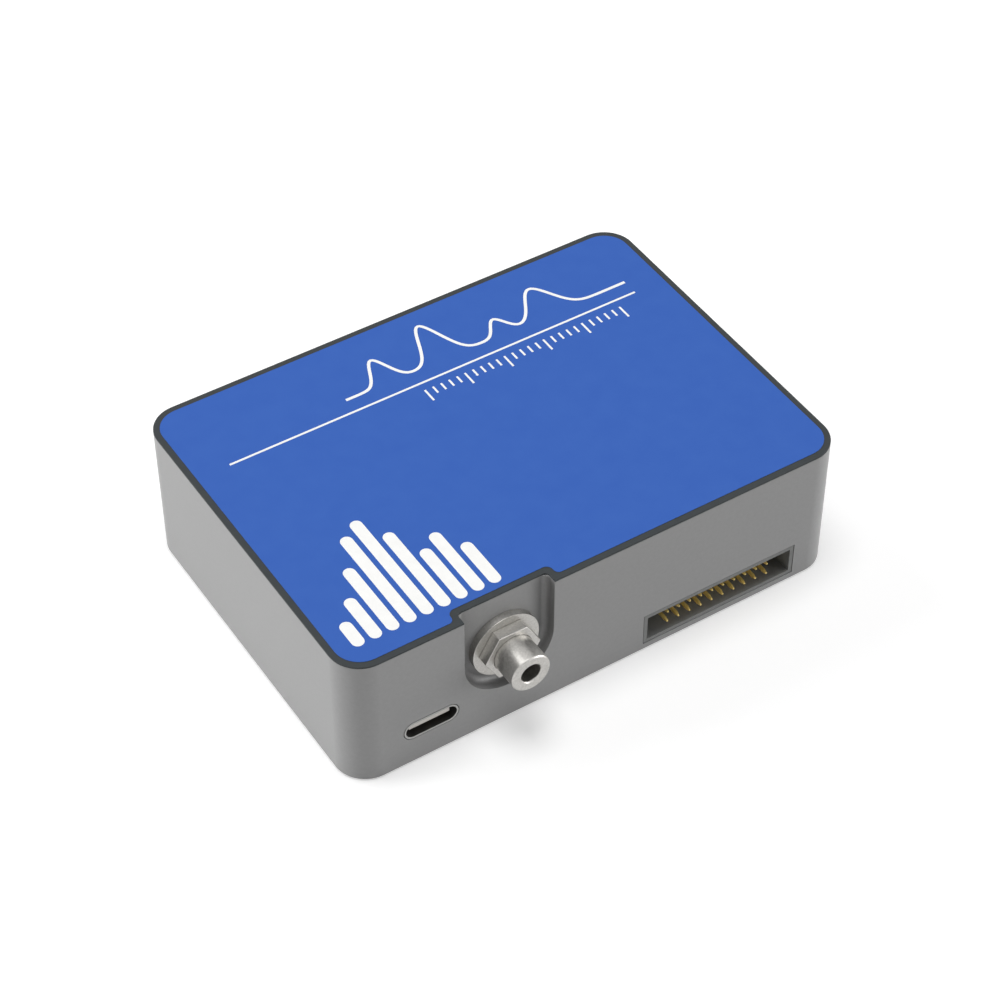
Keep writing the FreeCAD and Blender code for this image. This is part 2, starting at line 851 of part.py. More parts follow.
def foot_screw_point(thickness):
    """Where a mount's foot screw is, in the mount's own frame."""
    return (0.0, -thickness - mount_back - mount_foot_depth / 2)


def concave_mirror(place, angle, width, thickness):
    """A glass block whose front is hollowed to focus at the slit or the detector."""
    focus = slit_place if place == collimator_place else detector_place
    radius = 2 * math.dist(place, focus)
    glass = block(middle(0, width), (-thickness, mirror_rim), middle(axis_z, optic_height))
    bowl = Part.makeSphere(radius, vector(0, radius, axis_z))
    return set_in_place(glass.cut(bowl), place, angle)


def grating_block(place, angle, width, thickness):
    glass = block(middle(0, width), (-thickness, 0), middle(axis_z, optic_height))
    return set_in_place(glass, place, angle)


def optic_mount(place, angle, width, thickness):
    """The seat of an optic: back, side lips, shelf under the glass and a slotted foot."""
    half = width / 2 + mount_side
    back = -thickness - mount_back
    top = axis_z + optic_height / 2 + mount_top_rise
    foot_top = bench_top_z + mount_foot_thickness
    body = block((-half, half), (back, -thickness + mount_lip), (bench_top_z, top))
    foot = block(middle(0, mount_foot_width), (back - mount_foot_depth, back),
                 (bench_top_z, foot_top))
    seat = block(middle(0, width + 2 * optic_gap), (-thickness, 0),
                 (axis_z - optic_height / 2, top))
    screw_point = foot_screw_point(thickness)
    slot = edge_slot(screw_point, (0.0, back - mount_foot_depth), (bench_top_z, foot_top))
    return set_in_place(body.fuse(foot).cut([seat, slot]).removeSplitter(), place, angle)


def optic_clip(place, angle, thickness):
    """A spring strip that hooks behind the mount and steps down on the glass."""
    top = axis_z + optic_height / 2 + mount_top_rise
    glass_top = top - mount_top_rise
    back = -thickness - mount_back
    step = -thickness + clip_thickness
    end = -thickness + clip_reach
    points = [(back, top - clip_hook), (back, top), (-thickness, top), (step, glass_top),
              (end, glass_top), (end, glass_top + clip_thickness),
              (step + clip_thickness / 2, glass_top + clip_thickness),
              (-thickness + clip_thickness / 2, top + clip_thickness),
              (back - clip_thickness, top + clip_thickness),
              (back - clip_thickness, top - clip_hook)]
    corners = [vector(-clip_width / 2, y, z) for y, z in points]
    strip = Part.Face(Part.makePolygon(corners + corners[:1])).extrude(
        vector(clip_width, 0, 0))
    return set_in_place(strip, place, angle)


def mount_screw_places():
    places = []
    for place, angle, _, thickness in optics().values():
        places += place_on_bench([foot_screw_point(thickness)], place, angle)
    return places


def mount_screws():
    screw = machine_screw(m2_tap_radius, m2_head_radius, m2_head_height,
                          mount_foot_thickness + bench_thickness - thread_gap)
    z = bench_top_z + mount_foot_thickness
    return copies(screw, [(x, y, z) for x, y in mount_screw_places()])


def baffle_tab_places():
    """Where the baffle's two tabs go into the bench."""
    return baffle_span[0] + baffle_tab_inset, baffle_span[1] - baffle_tab_inset


def light_baffle():
    """An upright sheet that keeps stray light from the slit off the grating."""
    x_span = middle(baffle_x, baffle_thickness)
    sheet = block(x_span, baffle_span, (bench_top_z, cover_underside_z - baffle_top_gap))
    tabs = [block(x_span, middle(y, baffle_tab_length), (bench_underside_z, bench_top_z))
            for y in baffle_tab_places()]
    return sheet.fuse(tabs).removeSplitter()


def beam_trap():
    """A ridged absorber on the inner wall, where the grating's plain reflection lands."""
    beam = 2 * grating_facing() - direction(grating_place, collimator_place)
    centre_y = grating_place[1] + (inner_end_x - grating_place[0]) * math.tan(
        math.radians(beam))
    start_y = centre_y - trap_width / 2
    pitch = trap_width / trap_teeth
    points = [(inner_end_x, start_y + trap_width), (inner_end_x, start_y)]
    base_x = inner_end_x - trap_back
    for index in range(trap_teeth):
        points.append((base_x, start_y + index * pitch))
        points.append((base_x - trap_tooth, start_y + (index + 0.5) * pitch))
    points.append((base_x, start_y + trap_width))
    return plate([(x, y, 0.0) for x, y in points], middle(axis_z + trap_rise, trap_height))


def detector_package():
    """The ceramic package, stepped for its window and hollow over the chip."""
    x, face_y = detector_place
    body = block(middle(x, detector_length), (face_y - detector_depth, face_y),
                 middle(axis_z, detector_height))
    window_seat = block(middle(x, window_length), (face_y - window_thickness, face_y),
                        middle(axis_z, window_height))
    cavity = block(middle(x, cavity_length), (face_y - window_thickness - cavity_depth, face_y),
                   middle(axis_z, cavity_height))
    return body.cut([window_seat, cavity])


def detector_window():
    x, face_y = detector_place
    return block(middle(x, window_length - 2 * seat_gap), (face_y - window_thickness, face_y),
                 middle(axis_z, window_height - 2 * seat_gap))


def detector_chip():
    x, face_y = detector_place
    floor_y = face_y - window_thickness - cavity_depth
    return block(middle(x, cavity_length - 2 * chip_margin), (floor_y, floor_y + chip_thickness),
                 middle(axis_z, chip_height))


def order_sorting_filter():
    x, face_y = detector_place
    return block(middle(x, window_length - 2 * filter_margin),
                 (face_y, face_y + filter_thickness),
                 middle(axis_z, window_height - 2 * filter_margin))


def detector_pin_places():
    first = detector_place[0] - (detector_pin_columns - 1) * detector_pin_pitch / 2
    for index in range(detector_pin_columns):
        for side in (-1, 1):
            yield first + index * detector_pin_pitch, axis_z + side * detector_row_spacing / 2


def detector_pins():
    span = (bracket_y - detector_pin_tail, detector_board_y)
    return Part.makeCompound([block(middle(x, detector_pin_side), span,
                                    middle(z, detector_pin_side))
                              for x, z in detector_pin_places()])


def detector_board():
    """The detector's board, with a tab that goes down through the bench."""
    y_span = (bracket_y, detector_board_y)
    board = block(middle(detector_place[0], detector_board_length), y_span,
                  (bench_top_z + detector_board_lift, detector_board_top))
    tab_bottom = board_top_z + socket_height - socket_slot_depth
    tab = block(middle(detector_place[0], tab_length), y_span,
                (tab_bottom, bench_top_z + detector_board_lift))
    hole_side = detector_pin_side + 2 * thread_gap
    holes = [block(middle(x, hole_side), y_span, middle(z, hole_side))
             for x, z in detector_pin_places()]
    return board.fuse(tab).removeSplitter().cut(holes)


def board_socket():
    """The socket on the main board that takes the detector board's tab."""
    centre_y = detector_board_y - detector_board_thickness / 2
    body = block(middle(detector_place[0], socket_length), middle(centre_y, socket_width),
                 (board_top_z, board_top_z + socket_height))
    slot = block(middle(detector_place[0], tab_length + 2 * tab_gap),
                 middle(centre_y, detector_board_thickness + 2 * tab_gap),
                 (board_top_z + socket_height - socket_slot_depth, board_top_z + socket_height))
    return body.cut(slot)


def bracket_screw_place():
    return (detector_place[0] + bracket_foot_shift,
            bracket_y - bracket_thickness - bracket_foot_depth / 2)


def detector_bracket():
    """The bracket behind the detector board, with a groove for each end of the board."""
    x = detector_place[0]
    back = bracket_y - bracket_thickness
    groove_length = detector_board_length + 2 * tab_gap
    body = block(middle(x, groove_length + 2 * bracket_cheek),
                 (back, detector_board_y + bracket_lip), (bench_top_z, detector_board_top))
    groove = block(middle(x, groove_length), (bracket_y, detector_board_y + tab_gap),
                   (bench_top_z, detector_board_top))
    front = block(middle(x, groove_length - 2 * bracket_lip),
                  (bracket_y, detector_board_y + bracket_lip), (bench_top_z, detector_board_top))
    pin_field = (detector_pin_columns - 1) * detector_pin_pitch
    window = block(middle(x, pin_field + 2 * bracket_window_margin), (back, bracket_y),
                   middle(axis_z, detector_row_spacing + 2 * bracket_window_margin))
    foot_top = bench_top_z + bracket_foot_thickness
    foot = block(middle(x + bracket_foot_shift, bracket_foot_length),
                 (back - bracket_foot_depth, back), (bench_top_z, foot_top))
    screw_x, screw_y = bracket_screw_place()
    slot = edge_slot((screw_x, screw_y), (screw_x, back - bracket_foot_depth),
                     (bench_top_z, foot_top))
    return body.cut([groove, front, window]).fuse(foot).removeSplitter().cut(slot)


def bracket_screw():
    screw = machine_screw(m2_tap_radius, m2_head_radius, m2_head_height,
                          bracket_foot_thickness + bench_thickness - thread_gap)
    x, y = bracket_screw_place()
    screw.translate(vector(x, y, bench_top_z + bracket_foot_thickness))
    return screw


def bench_tapped_places():
    """Every place where a screw goes into the bench."""
    return mount_screw_places() + [bracket_screw_place()]


def parts():
    """Every node's name with its shape."""
    nodes = {
        "housing": housing(),
        "cover_plate": cover_plate(),
        "cover_screws": cover_screws(),
        "faceplate": faceplate(),
        "label_panel": label_panel(),
        "fibre_connector_body": fibre_connector_body(),
        "connector_washer": connector_washer(),
        "connector_nut": connector_nut(),
        "slit_disc": slit_disc(),
        "main_board": main_board(),
        "board_screws": board_screws(),
        "header_shroud": header_shroud(),
        "header_pins": header_pins(),
        "usb_shell": usb_shell(),
        "usb_tongue": usb_tongue(),
        "usb_contacts": usb_contacts(),
        "microcontroller": flat_chip(controller_place, controller_size),
        "converter_chip": chip_with_leads(converter_place, converter_size,
                                          converter_lead_count, converter_lead_pitch),
        "memory_chip": flat_chip(memory_place, memory_size),
        "voltage_regulator": chip_with_leads(regulator_place, regulator_size,
                                             regulator_lead_count, regulator_lead_pitch),
        "crystal_can": crystal_can(),
        "capacitors": capacitors(),
        "board_socket": board_socket(),
        "optical_bench": optical_bench(),
        "bench_screws": bench_screws(),
        "mount_screws": mount_screws(),
        "light_baffle": light_baffle(),
        "beam_trap": beam_trap(),
        "detector_package": detector_package(),
        "detector_window": detector_window(),
        "detector_chip": detector_chip(),
        "order_sorting_filter": order_sorting_filter(),
        "detector_pins": detector_pins(),
        "detector_board": detector_board(),
        "detector_bracket": detector_bracket(),
        "bracket_screw": bracket_screw(),
    }
    for name, optic in optics().items():
        make_glass = grating_block if name == "diffraction_grating" else concave_mirror
        short_name = name.replace("diffraction_", "")
        nodes[name] = make_glass(*optic)
        nodes[short_name + "_mount"] = optic_mount(*optic)
        place, angle, _, thickness = optic
        nodes[short_name + "_clip"] = optic_clip(place, angle, thickness)
    return nodes


os.makedirs("parts", exist_ok=True)
for node, shape in parts().items():
    shape.exportStep(os.path.join("parts", node + ".step"))
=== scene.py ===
import json
import math

import bmesh
import bpy
from mathutils import Matrix, Vector


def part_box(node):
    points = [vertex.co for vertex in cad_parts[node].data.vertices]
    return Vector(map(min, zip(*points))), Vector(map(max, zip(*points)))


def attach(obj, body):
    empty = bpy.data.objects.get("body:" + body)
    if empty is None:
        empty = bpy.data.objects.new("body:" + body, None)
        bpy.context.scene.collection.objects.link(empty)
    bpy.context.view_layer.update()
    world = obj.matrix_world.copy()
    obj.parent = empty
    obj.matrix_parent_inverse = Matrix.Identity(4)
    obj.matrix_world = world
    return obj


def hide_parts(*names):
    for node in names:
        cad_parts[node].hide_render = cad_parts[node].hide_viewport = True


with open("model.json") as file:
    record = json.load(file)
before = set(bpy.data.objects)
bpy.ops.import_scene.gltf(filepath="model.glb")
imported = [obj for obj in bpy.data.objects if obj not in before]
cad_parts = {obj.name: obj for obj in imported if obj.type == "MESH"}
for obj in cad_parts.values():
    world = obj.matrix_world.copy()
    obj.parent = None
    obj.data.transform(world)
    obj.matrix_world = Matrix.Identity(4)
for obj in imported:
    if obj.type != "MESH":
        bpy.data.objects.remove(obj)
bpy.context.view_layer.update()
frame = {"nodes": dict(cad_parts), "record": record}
nodes = frame["nodes"]

MM = 0.001


def srgb(red, green, blue):
    """A linear colour from the 0 to 255 values that it shows."""
    linear = []
    for value in (red, green, blue):
        share = value / 255
        linear.append(share / 12.92 if share <= 0.04045 else ((share + 0.055) / 1.055) ** 2.4)
    return (*linear, 1.0)


# Camera: where the photograph was taken from. The offset is to its right and up
CAMERA_AZIMUTH = math.radians(-32.5678)
CAMERA_ELEVATION = math.radians(45.0059)
CAMERA_ROLL = math.radians(0.0145)
CAMERA_OFFSET = (1.2826 * MM, 6.9637 * MM)
CAMERA_DISTANCE = 416.959 * MM
CAMERA_LENS = 98.338
SENSOR_WIDTH = 36.0
CLIP_START = 10 * MM
CLIP_END = 20.0

# Light and floor. Each lamp: place in metres, size in metres, watts
WHITE = (1.0, 1.0, 1.0, 1.0)
SOFT_LIGHT = 0.22
WHITE_LIGHT = 1.0
LAMPS = {
    "back": ((-0.34, 0.55, 0.64), 0.35, 1.2),
    "above": ((-0.06, 0.0, 0.90), 0.42, 3.5),
    "left": ((-0.84, 0.50, 0.16), 0.5, 8.3),
    "right": ((0.97, -0.10, 0.16), 0.5, 4.6),
    "front": ((0.68, -0.68, 0.18), 0.5, 3.0),
}
LAMP_TARGET = (0, 0, 0.01)
FLOOR_HALF = 4.0
FLOOR_CORNERS = ((-1, -1), (1, -1), (1, 1), (-1, 1))
FLOOR_DROP = 0.05 * MM
FLOOR_COLOUR = srgb(233, 233, 233)
FLOOR_GLOW = 0.35

# Finishes: colour, second colour, noise scale, roughness, its spread, metallic, bump, bump scale
FINISHES = {
    "grey_anodised": (srgb(137, 137, 137), srgb(141, 141, 141), 1500, 0.42, 0.03, 0.1, 0.2, 9000),
    "cover_metal": (srgb(120, 120, 120), srgb(128, 128, 128), 600, 0.5, 0.04, 0.4, 0.2, 8000),
    "screw_steel": (srgb(150, 148, 145), srgb(165, 163, 160), 1200, 0.35, 0.05, 0.9, 0.1, 9000),
    "dark_overlay": (srgb(54, 58, 60), srgb(58, 62, 64), 700, 0.55, 0.04, 0.0, 0.1, 7000),
    "blue_overlay": (srgb(56, 98, 183), srgb(59, 101, 185), 300, 0.55, 0.04, 0.0, 0.1, 7000),
    "nickel": (srgb(172, 170, 166), srgb(194, 192, 188), 3500, 0.35, 0.07, 0.95, 0.7, 4500),
    "black_metal": (srgb(26, 26, 27), srgb(32, 32, 33), 900, 0.55, 0.05, 0.2, 0.2, 7000),
    "slit_foil": (srgb(120, 118, 112), srgb(132, 130, 124), 1500, 0.3, 0.04, 0.9, 0.1, 9000),
    "coated_glass": (srgb(205, 190, 150), srgb(212, 198, 160), 300, 0.08, 0.02, 0.9),
    "clear_glass": (srgb(190, 205, 205), srgb(200, 212, 212), 300, 0.08, 0.02, 0.0),
    "dark_filter": (srgb(40, 14, 14), srgb(52, 18, 16), 300, 0.1, 0.02, 0.0),
    "ceramic": (srgb(208, 200, 182), srgb(218, 210, 194), 800, 0.7, 0.05, 0.0, 0.2, 6000),
    "silicon": (srgb(60, 62, 72), srgb(70, 72, 84), 500, 0.2, 0.03, 0.3),
    "circuit_board": (srgb(18, 84, 48), srgb(26, 98, 58), 500, 0.4, 0.05, 0.0, 0.1, 5000),
    "chip_epoxy": (srgb(30, 30, 31), srgb(38, 38, 39), 1500, 0.6, 0.05, 0.0, 0.3, 9000),
    "capacitor_ceramic": (srgb(150, 118, 86), srgb(166, 132, 98), 1500, 0.5, 0.05, 0.0, 0.2, 7000),
    "connector_plastic": (srgb(118, 119, 118), srgb(124, 125, 124), 900, 0.5, 0.04, 0.0, 0.2,
                          6000),
    "black_plastic": (srgb(20, 20, 21), srgb(26, 26, 27), 900, 0.5, 0.04, 0.0, 0.2, 6000),
    "gold_plate": (srgb(228, 198, 112), srgb(238, 210, 128), 1800, 0.36, 0.05, 0.35, 0.1, 9000),
    "port_steel": (srgb(160, 160, 158), srgb(170, 170, 168), 1200, 0.35, 0.04, 0.6, 0.1, 9000),
}
# Finishes of the scene's own pieces and faces, which no CAD node has
EXTRA_FINISHES = {
    "white_print": (srgb(250, 250, 248), srgb(255, 255, 253), 700, 0.5, 0.03),
    # Painted shade: a dark colour that stands for the shade inside the port's sleeve
    "sleeve_inside": (srgb(34, 33, 32), srgb(44, 43, 41), 1500, 0.5, 0.05),
    "tongue_edge": (srgb(202, 198, 192), srgb(212, 208, 202), 1500, 0.4, 0.05),
}
# How much a finish without metal mirrors, where it isn't the usual amount
USUAL_SHEEN = 0.5
SHEEN = {"blue_overlay": 0.15, "white_print": 0.15, "dark_overlay": 0.2,
         "connector_plastic": 0.25}
# How far round a hollow corner a finish gets painted shade: the piece's own ambient occlusion
# darkens its colour there
PAINTED_SHADE_REACH = {"grey_anodised": 3.4 * MM}
PAINTED_SHADE_SAMPLES = 4
NOISE_DETAIL = 4.0
NOISE_LOW, NOISE_HIGH = 0.3, 0.7
GRAIN_DETAIL = 2.0
GRAIN_HEIGHT = 0.02 * MM

# Clean faces and softened edges of the pieces that replace CAD nodes. Each _EDGE is the width
# of one piece's softened edges
WELD = 1e-7
FLAT_ANGLE = math.radians(0.4)
SHARP_ANGLE = math.radians(32)
NORMAL_WEIGHT = 100
EDGE_SEGMENTS = 2
BODY_EDGE = 0.12 * MM
FRAME_EDGE = 0.06 * MM
FILM_EDGE = 0.012 * MM
BARREL_EDGE = 0.06 * MM
WASHER_EDGE = 0.05 * MM
NUT_EDGE = 0.08 * MM
HEADER_EDGE = 0.06 * MM
PIN_EDGE = 0.05 * MM
PORT_EDGE = 0.05 * MM

# Alcove: which edges bound the slanted strip, and the hollow that it becomes
ALCOVE_LOW = 2 * MM
ALCOVE_DEEP = -20 * MM
STRIP_ANGLE = math.radians(45)
STRIP_ANGLE_SPREAD = math.radians(4)
HOLLOW_WIDTH = 0.38 * MM
HOLLOW_SEGMENTS = 5
HOLLOW_PROFILE = 0.5

# USB port: the sleeve's bright skin and mouth, with painted shade inside behind them, and the
# tongue's bright front edge
SLEEVE_SKIN = 0.15 * MM
SLEEVE_MOUTH = 0.1 * MM
TONGUE_FRONT = 0.2 * MM

# Heights of the label and its print, in metres
LABEL_TOP = 23.96 * MM
PRINT_TOP = 23.985 * MM
PRINT_THICKNESS = 0.024 * MM

# The label's marks, in mm on the top: the rule, its scale, the row of bars and the curve
RULE_SPAN = (-35.6, 35.5)
RULE_Y = 14.5
RULE_WIDTH = 0.36
TICK_COUNT = 26
TICK_GROUP = 5
TICK_START = -3.5
TICK_PITCH = 1.4
TICK_WIDTH = 0.32
TICK_DROP = 1.6
TICK_LONG = 2.6
TICK_SHORT = 1.5
BAR_HEIGHTS = (5.0, 8.5, 13.5, 19.0, 21.0, 16.5, 11.0, 13.0, 9.0)
BAR_START = -37.4
BAR_PITCH = 2.75
BAR_WIDTH = 1.9
BAR_FOOT = -26.0
BAR_END_STEPS = 10
CURVE_SPAN = (-14.5, 35.5)
CURVE_BASE = 17.3
CURVE_WIDTH = 0.5
CURVE_STEPS = 160
# Each peak: middle, height and spread
SPECTRUM_PEAKS = ((-7.0, 5.6, 2.0), (3.0, 8.4, 2.6), (13.5, 3.6, 1.8), (22.0, 6.6, 3.2))


def make_camera():
    """The photograph's camera, from its angles, its sideways offset and its distance."""
    back = Vector((math.sin(CAMERA_AZIMUTH) * math.cos(CAMERA_ELEVATION),
                   -math.cos(CAMERA_AZIMUTH) * math.cos(CAMERA_ELEVATION),
                   math.sin(CAMERA_ELEVATION)))
    level = Vector((math.cos(CAMERA_AZIMUTH), math.sin(CAMERA_AZIMUTH), 0))
    upright = back.cross(level)
    right = level * math.cos(CAMERA_ROLL) + upright * math.sin(CAMERA_ROLL)
    up = upright * math.cos(CAMERA_ROLL) - level * math.sin(CAMERA_ROLL)
    data = bpy.data.cameras.new("camera")
    data.lens = CAMERA_LENS
    data.sensor_width = SENSOR_WIDTH
    data.clip_start = CLIP_START
    data.clip_end = CLIP_END
    camera = bpy.data.objects.new("camera", data)
    axes = Matrix((right, up, back)).transposed()
    place = right * CAMERA_OFFSET[0] + up * CAMERA_OFFSET[1] + back * CAMERA_DISTANCE
    camera.matrix_world = Matrix.Translation(place) @ axes.to_4x4()
    bpy.context.scene.collection.objects.link(camera)
    bpy.context.scene.camera = camera


def area_light(name, place, size, power):
    """A round lamp that is aimed at the object."""
    data = bpy.data.lights.new(name, "AREA")
    data.shape = "DISK"
    data.size = size
    data.energy = power
    light = bpy.data.objects.new(name, data)
    aim = (Vector(LAMP_TARGET) - Vector(place)).to_track_quat("-Z", "Y")
    light.matrix_world = Matrix.Translation(place) @ aim.to_matrix().to_4x4()
    bpy.context.scene.collection.objects.link(light)


def empty_tree(owner):
    """The node tree of a material or world, with nothing in it yet."""
    owner.use_nodes = True
    owner.node_tree.nodes.clear()
    return owner.node_tree


def link(tree, source, target):
    tree.links.new(source, target)


def seen_directly(tree):
    """1 for what the camera, a mirror or clear glass shows, and 0 for the light on surfaces."""
    path = tree.nodes.new("ShaderNodeLightPath")
    glossy = tree.nodes.new("ShaderNodeMath")
    glossy.operation = "MAXIMUM"
    clear = tree.nodes.new("ShaderNodeMath")
    clear.operation = "MAXIMUM"
    link(tree, path.outputs["Is Camera Ray"], glossy.inputs[0])
    link(tree, path.outputs["Is Glossy Ray"], glossy.inputs[1])
    link(tree, glossy.outputs[0], clear.inputs[0])
    link(tree, path.outputs["Is Transmission Ray"], clear.inputs[1])
    return clear.outputs[0]


def make_world():
    """White where the camera or a mirror sees it, and a soft grey light on everything else."""
    world = bpy.data.worlds.new("studio")
    bpy.context.scene.world = world
    tree = empty_tree(world)
    output = tree.nodes.new("ShaderNodeOutputWorld")
    soft = tree.nodes.new("ShaderNodeBackground")
    white = tree.nodes.new("ShaderNodeBackground")
    mix = tree.nodes.new("ShaderNodeMixShader")
    soft.inputs["Color"].default_value = WHITE
    soft.inputs["Strength"].default_value = SOFT_LIGHT
    white.inputs["Color"].default_value = WHITE
    white.inputs["Strength"].default_value = WHITE_LIGHT
    link(tree, seen_directly(tree), mix.inputs["Fac"])
    link(tree, soft.outputs[0], mix.inputs[1])
    link(tree, white.outputs[0], mix.inputs[2])
    link(tree, mix.outputs[0], output.inputs["Surface"])


def make_floor():
    """A pale floor that is white to the camera except where the object shades it."""
    mesh = bpy.data.meshes.new("floor")
    corners = [(x * FLOOR_HALF, y * FLOOR_HALF, 0) for x, y in FLOOR_CORNERS]
    mesh.from_pydata(corners, [], [(0, 1, 2, 3)])
    floor = bpy.data.objects.new("floor", mesh)
    bpy.context.scene.collection.objects.link(floor)
    material = bpy.data.materials.new("floor")
    tree = empty_tree(material)
    output = tree.nodes.new("ShaderNodeOutputMaterial")
    diffuse = tree.nodes.new("ShaderNodeBsdfDiffuse")
    glow = tree.nodes.new("ShaderNodeEmission")
    add = tree.nodes.new("ShaderNodeAddShader")
    level = tree.nodes.new("ShaderNodeMath")
    level.operation = "MULTIPLY"
    level.inputs[1].default_value = FLOOR_GLOW
    diffuse.inputs["Color"].default_value = FLOOR_COLOUR
    link(tree, seen_directly(tree), level.inputs[0])
    link(tree, level.outputs[0], glow.inputs["Strength"])
    link(tree, diffuse.outputs[0], add.inputs[0])
    link(tree, glow.outputs[0], add.inputs[1])
    link(tree, add.outputs[0], output.inputs["Surface"])
    mesh.materials.append(material)
    floor.location.z = -FLOOR_DROP


def surface(name, colour, second, scale, roughness, rough_span, metallic=0.0, bump=0.0,
            bump_scale=None):
    """A procedural finish: two close colours in noise, uneven gloss, a fine bump and, where
    listed, painted shade in hollow corners.
    """
    material = bpy.data.materials.new(name)
    tree = empty_tree(material)
    output = tree.nodes.new("ShaderNodeOutputMaterial")
    shader = tree.nodes.new("ShaderNodeBsdfPrincipled")
    place = tree.nodes.new("ShaderNodeTexCoord")
    noise = tree.nodes.new("ShaderNodeTexNoise")
    ramp = tree.nodes.new("ShaderNodeValToRGB")
    gloss = tree.nodes.new("ShaderNodeMapRange")
    noise.inputs["Scale"].default_value = scale
    noise.inputs["Detail"].default_value = NOISE_DETAIL
    ramp.color_ramp.elements[0].position = NOISE_LOW
    ramp.color_ramp.elements[0].color = colour
    ramp.color_ramp.elements[1].position = NOISE_HIGH
    ramp.color_ramp.elements[1].color = second
    gloss.inputs["To Min"].default_value = roughness - rough_span
    gloss.inputs["To Max"].default_value = roughness + rough_span
    shader.inputs["Metallic"].default_value = metallic
    shader.inputs["Specular IOR Level"].default_value = SHEEN.get(name, USUAL_SHEEN)
    link(tree, place.outputs["Object"], noise.inputs["Vector"])
    link(tree, noise.outputs["Fac"], ramp.inputs["Fac"])
    link(tree, noise.outputs["Fac"], gloss.inputs["Value"])
    shown = ramp.outputs["Color"]
    # Painted shade: ambient occlusion darkens the colour in the piece's own hollow corners
    if name in PAINTED_SHADE_REACH:
        painted_shade = tree.nodes.new("ShaderNodeAmbientOcclusion")
        painted_shade.only_local = True
        painted_shade.samples = PAINTED_SHADE_SAMPLES
        painted_shade.inputs["Distance"].default_value = PAINTED_SHADE_REACH[name]
        link(tree, shown, painted_shade.inputs["Color"])
        shown = painted_shade.outputs["Color"]
    link(tree, shown, shader.inputs["Base Color"])
    link(tree, gloss.outputs["Result"], shader.inputs["Roughness"])
    if bump:
        grain = tree.nodes.new("ShaderNodeTexNoise")
        grain.inputs["Scale"].default_value = bump_scale
        grain.inputs["Detail"].default_value = GRAIN_DETAIL
        relief = tree.nodes.new("ShaderNodeBump")
        relief.inputs["Strength"].default_value = bump
        relief.inputs["Distance"].default_value = GRAIN_HEIGHT
        link(tree, place.outputs["Object"], grain.inputs["Vector"])
        link(tree, grain.outputs["Fac"], relief.inputs["Height"])
        link(tree, relief.outputs["Normal"], shader.inputs["Normal"])
    link(tree, shader.outputs["BSDF"], output.inputs["Surface"])
    return material


def dress_nodes():
    """Make all finishes by name, and put the right one on each CAD node."""
    made = {name: surface(name, *values) for name, values in FINISHES.items()}
    for name, node in nodes.items():
        node.data.materials.clear()
        node.data.materials.append(made[slots[name]])
    for name, values in EXTRA_FINISHES.items():
        made[name] = surface(name, *values)
    return made


def new_piece(name, bm, finish):
    """A piece from a finished mesh, which rides on the body and has a finish of its own."""
    mesh = bpy.data.meshes.new(name)
    bm.to_mesh(mesh)
    bm.free()
    mesh.materials.append(materials[finish])
    piece = bpy.data.objects.new(name, mesh)
    bpy.context.scene.collection.objects.link(piece)
    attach(piece, "root")
    return piece


def finished_copy(node, name, width, segments=EDGE_SEGMENTS, change=None):
    """A piece with the shape of a CAD node, merged into clean faces with softened edges."""
    bm = bmesh.new()
    bm.from_mesh(nodes[node].data)
    bmesh.ops.remove_doubles(bm, verts=bm.verts, dist=WELD)
    bmesh.ops.dissolve_limit(bm, angle_limit=FLAT_ANGLE, verts=bm.verts, edges=bm.edges)
    if change:
        change(bm)
    bmesh.ops.recalc_face_normals(bm, faces=bm.faces)
    piece = new_piece(name, bm, slots[node])
    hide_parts(node)
    bevel = piece.modifiers.new("edges", "BEVEL")
    bevel.width = width
    bevel.segments = segments
    bevel.limit_method = "ANGLE"
    bevel.angle_limit = SHARP_ANGLE
    bevel.miter_outer = "MITER_ARC"
    weld = piece.modifiers.new("weld", "WELD")
    weld.merge_threshold = WELD
    bake_modifiers(piece)
    finish_normals(piece)
    return piece


def bake_modifiers(piece):
    """Put the result of a piece's modifiers into its own mesh."""
    graph = bpy.context.evaluated_depsgraph_get()
    made = bpy.data.meshes.new_from_object(piece.evaluated_get(graph))
    piece.modifiers.clear()
    piece.data = made


def finish_normals(piece):
    """Smooth round faces, keep flat faces flat and put the normals into the mesh."""
    piece.data.shade_smooth()
    piece.data.set_sharp_from_angle(angle=SHARP_ANGLE)
    weighted = piece.modifiers.new("normals", "WEIGHTED_NORMAL")
    weighted.keep_sharp = True
    weighted.weight = NORMAL_WEIGHT
    bake_modifiers(piece)


def round_alcove(bm):
    """Turn the slanted strip round the alcove's back wall into a smooth hollow."""
    strip_edges = []
    for edge in bm.edges:
        middle = (edge.verts[0].co + edge.verts[1].co) / 2
        inside = middle.z > ALCOVE_LOW and middle.y < ALCOVE_DEEP
        if inside and len(edge.link_faces) == 2:
            if abs(edge.calc_face_angle(0) - STRIP_ANGLE) < STRIP_ANGLE_SPREAD:
                strip_edges.append(edge)
    bmesh.ops.bevel(bm, geom=strip_edges, offset=HOLLOW_WIDTH, offset_type="OFFSET",
                    segments=HOLLOW_SEGMENTS, profile=HOLLOW_PROFILE, affect="EDGES",
                    clamp_overlap=True)


def lower_label(bm):
    """Make room for the print inside the label's own height."""
    low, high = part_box("label_panel")
    for vert in bm.verts:
        if vert.co.z > (low.z + high.z) / 2:
            vert.co.z = LABEL_TOP


